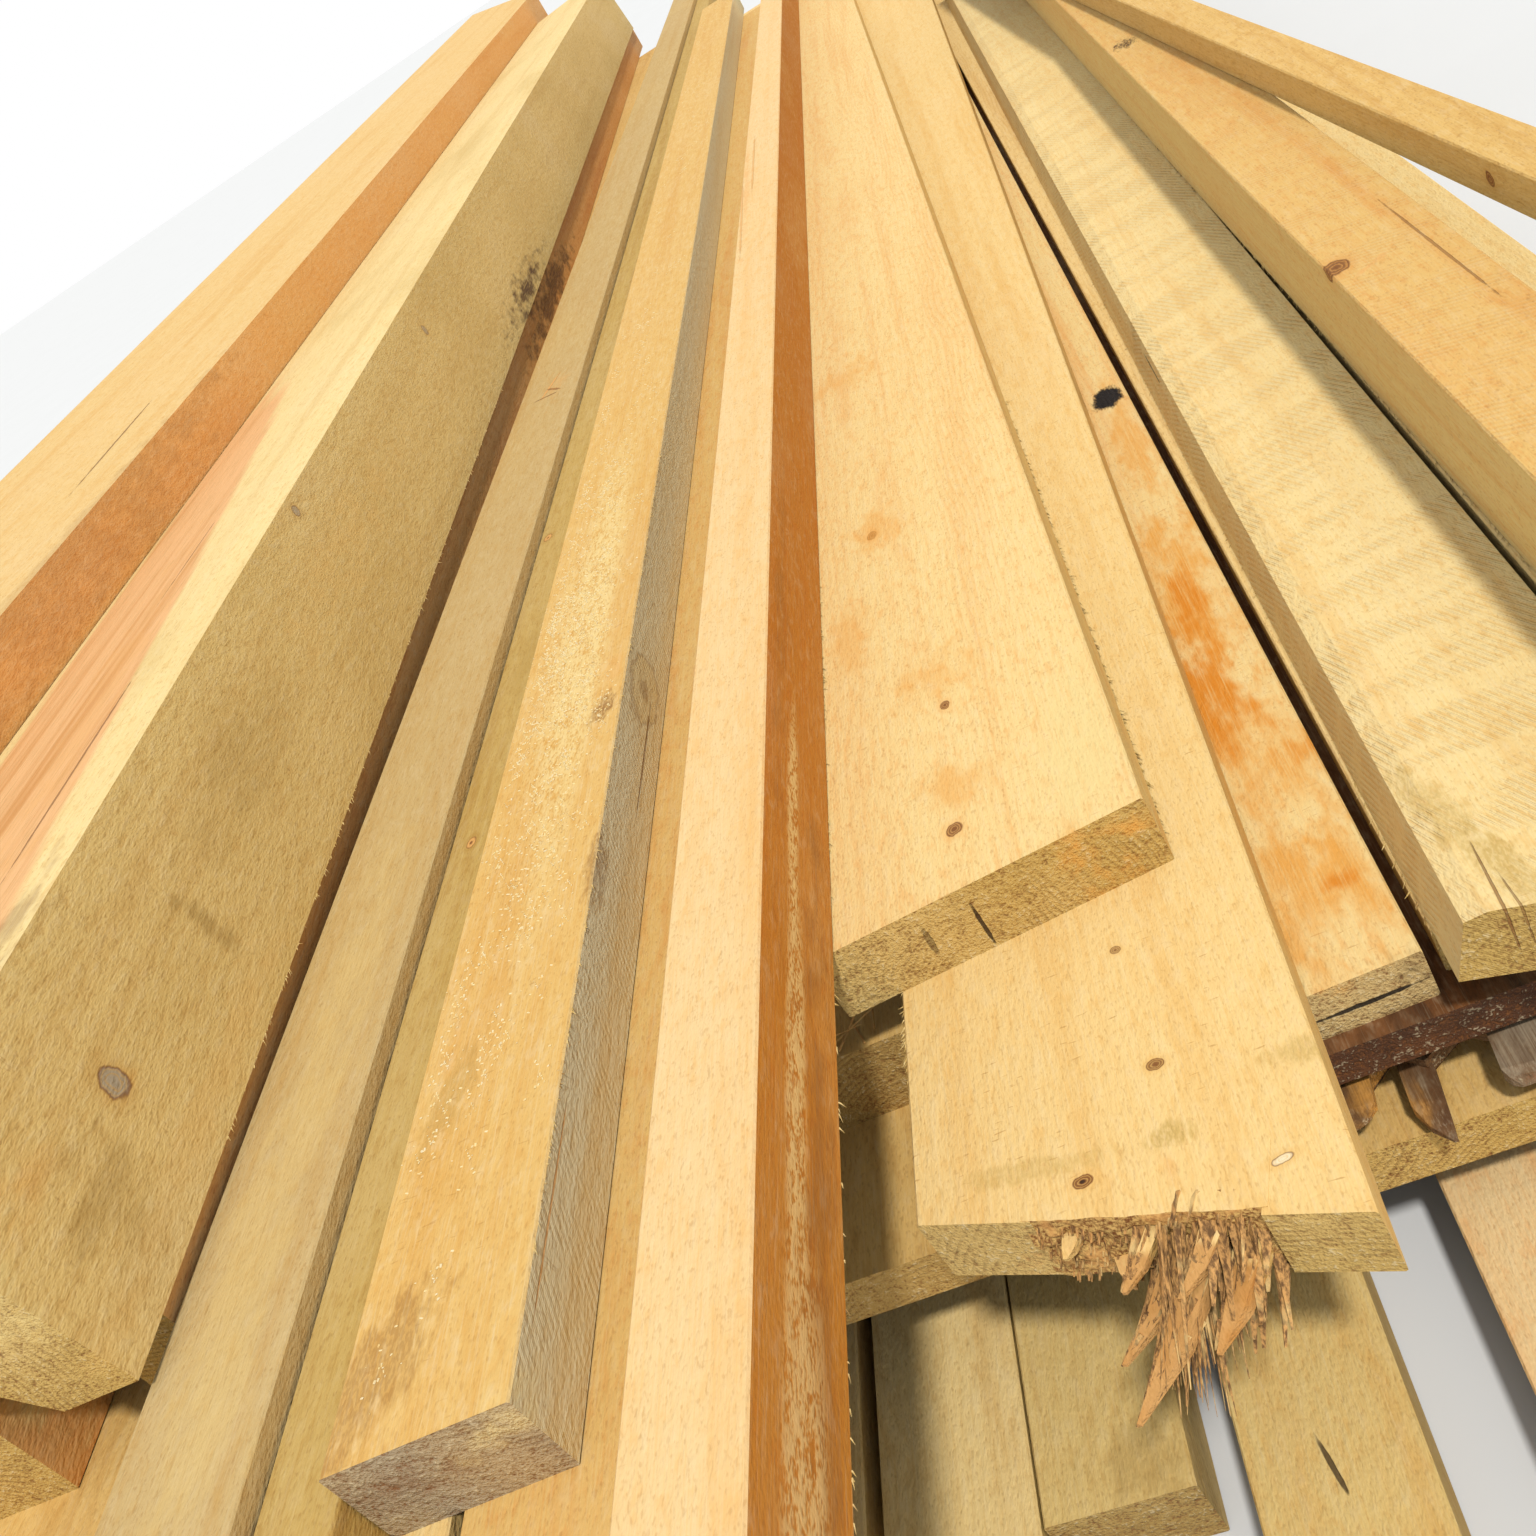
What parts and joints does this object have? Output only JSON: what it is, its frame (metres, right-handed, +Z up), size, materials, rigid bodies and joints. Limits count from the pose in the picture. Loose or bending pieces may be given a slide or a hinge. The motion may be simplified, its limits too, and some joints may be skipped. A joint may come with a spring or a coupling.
{
  "type": "stack of lumber",
  "caption": "Stack of rough-sawn timber: planks, beams and squared cants laid in layers, with saw marks, knots and one plank whose end is torn into splinters.",
  "frame": {"origin": "middle of the stack's length and width, at the level of the floor it lies on", "axes": "+Y along the boards, away from their near ends; +Z up; +X to the right seen from the near ends"},
  "size_m": [2.0784, 6.8506, 0.819],
  "materials": {
    "pale_sapwood": "rough sawn",
    "pink_heartwood": "rough sawn",
    "olive_sapwood": "rough sawn",
    "grey_weathered": "rough sawn, weathered",
    "stained_wood": "rough sawn, stained",
    "rotten_wood": "rough, rotten",
    "bark_wood": "rough bark"
  },
  "bodies": {
    "root": {"bark_board": "bark_wood", "bark_board_side": "pale_sapwood", "broken_plank": "pale_sapwood", "cant_bearer": "pale_sapwood", "centre_beam": "pink_heartwood", "crossing_beam": "pale_sapwood", "dusty_beam": "pale_sapwood", "fifth_layer_planks": "pale_sapwood", "floor_board_1": "pale_sapwood", "floor_board_2": "olive_sapwood", "floor_board_3": "pale_sapwood", "floor_board_4": "pale_sapwood", "floor_board_5": "pale_sapwood", "floor_board_6": "pale_sapwood", "floor_planks": "pale_sapwood", "fourth_layer_inner_plank": "pale_sapwood", "fourth_layer_planks": "pale_sapwood", "fourth_layer_side_plank": "pale_sapwood", "grey_board": "grey_weathered", "left_cant": "pale_sapwood", "low_strip": "pink_heartwood", "olive_strip": "olive_sapwood", "outer_bearer": "pale_sapwood", "packing_planks": "pale_sapwood", "packing_strip": "pale_sapwood", "right_beam": "pale_sapwood", "right_side_plank": "pale_sapwood", "rotten_plank": "rotten_wood", "rough_end_plank": "pale_sapwood", "saw_marked_plank": "pale_sapwood", "seventh_layer_planks": "pale_sapwood", "short_end_plank": "olive_sapwood", "sixth_layer_side_plank": "pale_sapwood", "stained_plank": "stained_wood", "tall_cant": "olive_sapwood", "thick_end_plank": "olive_sapwood", "third_layer_planks": "pale_sapwood", "third_layer_side_plank": "pale_sapwood", "top_layer_left_plank": "pale_sapwood", "top_layer_middle_plank": "pale_sapwood", "top_layer_outer_plank": "pale_sapwood", "wide_plank": "pale_sapwood"}
  },
  "joints": []
}
